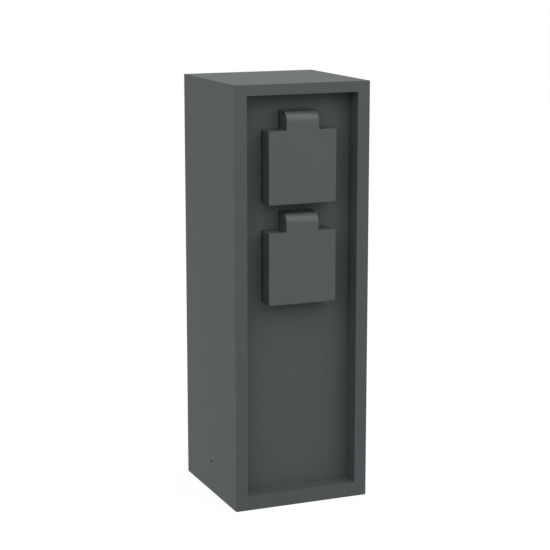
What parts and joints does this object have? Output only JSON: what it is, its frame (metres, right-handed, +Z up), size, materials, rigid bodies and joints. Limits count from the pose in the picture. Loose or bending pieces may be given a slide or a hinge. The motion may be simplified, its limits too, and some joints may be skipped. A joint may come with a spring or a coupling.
{
  "type": "garden socket post",
  "caption": "Square outdoor post with a framed recessed front panel and sprung-lid sockets one above the other, bolted to the ground.",
  "frame": {"origin": "middle of the rectangular footprint on the ground", "axes": "+Z up along the post, -Y out of the front with the sockets, +X to the right seen from the front"},
  "size_m": [0.1, 0.1, 0.298],
  "materials": {
    "powder_coat": "fine matt anthracite powder coat",
    "coated_screw": "countersunk screw in the housing's colour, matt",
    "galvanised_steel": "galvanised sheet steel, dull",
    "moulding": "anthracite moulded plastic, fine matt",
    "black_rubber": "black rubber, matt",
    "insert_plastic": "light grey moulded plastic, satin",
    "clamp_plastic": "grey moulded plastic, satin",
    "brass": "bare brass, satin",
    "plated_steel": "zinc-plated steel, bright",
    "spring_steel": "stainless spring steel, satin",
    "wire_brown": "brown wire insulation",
    "wire_blue": "light blue wire insulation",
    "wire_green_yellow": "green and yellow wire insulation"
  },
  "bodies": {
    "post": {"base_plate": "galvanised_steel", "block_screws": "plated_steel", "cable_clamp": "clamp_plastic", "cable_grommet": "black_rubber", "carrier_screws_lower": "plated_steel", "carrier_screws_upper": "plated_steel", "clamp_screws": "plated_steel", "contact_carrier_lower": "insert_plastic", "contact_carrier_upper": "insert_plastic", "contact_screws_lower": "plated_steel", "contact_screws_upper": "plated_steel", "earth_clip_lower": "brass", "earth_clip_upper": "brass", "earth_screw": "plated_steel", "earth_tag": "brass", "front_panel": "powder_coat", "hinge_pin_lower": "spring_steel", "hinge_pin_upper": "spring_steel", "housing": "powder_coat", "lid_spring_lower": "spring_steel", "lid_spring_upper": "spring_steel", "line_contacts_lower": "brass", "line_contacts_upper": "brass", "mounting_screws_lower": "plated_steel", "mounting_screws_upper": "plated_steel", "panel_nuts_lower": "plated_steel", "panel_nuts_upper": "plated_steel", "panel_screws": "plated_steel", "side_screws": "coated_screw", "socket_body_lower": "moulding", "socket_body_upper": "moulding", "socket_gasket_lower": "black_rubber", "socket_gasket_upper": "black_rubber", "terminal_block": "insert_plastic", "terminal_clamps": "brass", "terminal_screws": "plated_steel", "wire_bond": "wire_green_yellow", "wire_earth": "wire_green_yellow", "wire_live": "wire_brown", "wire_neutral": "wire_blue"},
    "upper_cover": {"lid_upper": "moulding", "lid_seal_upper": "black_rubber"},
    "lower_cover": {"lid_lower": "moulding", "lid_seal_lower": "black_rubber"}
  },
  "joints": [
    {"name": "lid_upper_hinge", "type": "hinge", "parent": "post", "child": "upper_cover", "pos_m": [0, -0.0452, 0.2736], "axis": [-1, 0, 0], "range_deg": [0, 100], "stiffness_Nm_per_rad": 0.02, "springref_deg": -57.3, "deforming": ["lid_spring_upper"]},
    {"name": "lid_lower_hinge", "type": "hinge", "parent": "post", "child": "lower_cover", "pos_m": [0, -0.0452, 0.2036], "axis": [-1, 0, 0], "range_deg": [0, 100], "stiffness_Nm_per_rad": 0.02, "springref_deg": -57.3, "deforming": ["lid_spring_lower"]}
  ]
}
